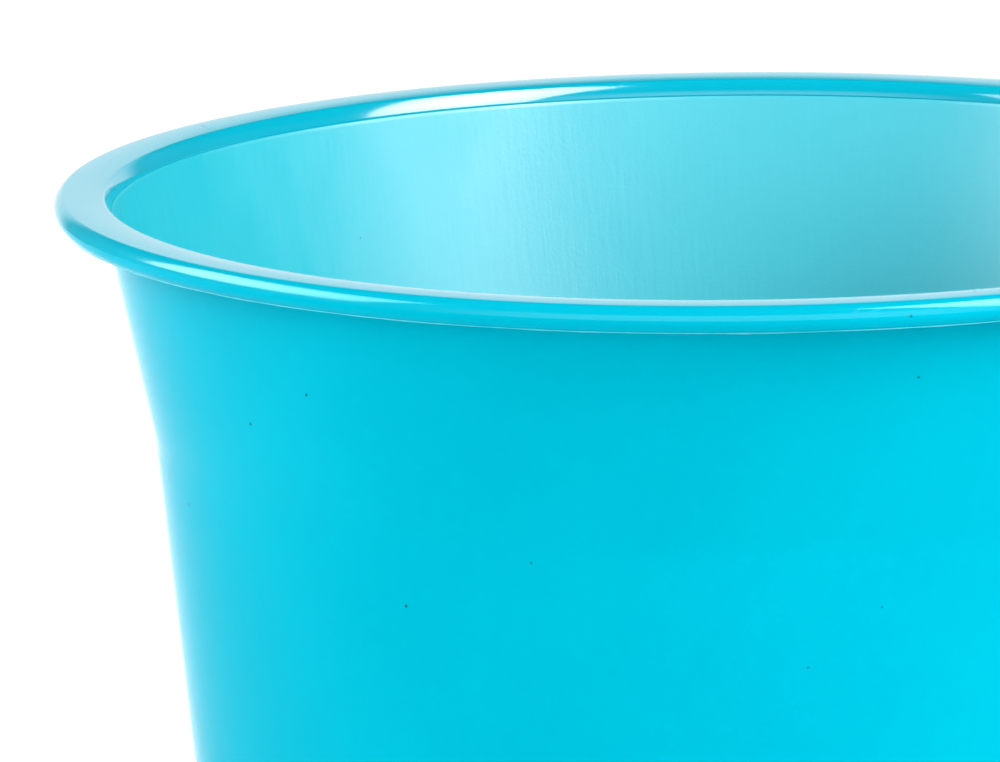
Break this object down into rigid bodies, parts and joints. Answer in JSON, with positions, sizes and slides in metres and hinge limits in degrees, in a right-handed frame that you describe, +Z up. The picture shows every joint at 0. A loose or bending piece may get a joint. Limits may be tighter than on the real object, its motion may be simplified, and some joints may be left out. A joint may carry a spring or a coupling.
{
  "type": "sand bucket",
  "caption": "Round tapered plastic bucket with a wide turned rim, a soft bend round its wall, a swinging wire bail and a tube grip.",
  "frame": {"origin": "centre of the foot ring, on the ground that the bucket stands on", "axes": "+Z up, along the bucket's centreline; +X along the bail's axis, through both ears; the bail hangs at rest on the +Y side"},
  "size_m": [0.2212, 0.21, 0.18],
  "materials": {
    "bucket_plastic": "smooth glossy moulded polypropylene, turquoise",
    "zinc_wire": "drawn steel wire with dull zinc plating",
    "grip_plastic": "satin moulded polypropylene, turquoise"
  },
  "bodies": {
    "bucket": {"bucket_body": "bucket_plastic"},
    "bail": {"bail_wire": "zinc_wire"},
    "grip_tube": {"grip": "grip_plastic"}
  },
  "joints": [
    {"name": "bail_swing", "type": "hinge", "parent": "bucket", "child": "bail", "pos_m": [0, 0, 0.167], "axis": [1, 0, 0], "range_deg": [0, 248.1]},
    {"name": "grip_spin", "type": "hinge", "parent": "bail", "child": "grip_tube", "pos_m": [0, 0.09569, 0.10231], "axis": [1, 0, 0], "continuous": true}
  ]
}
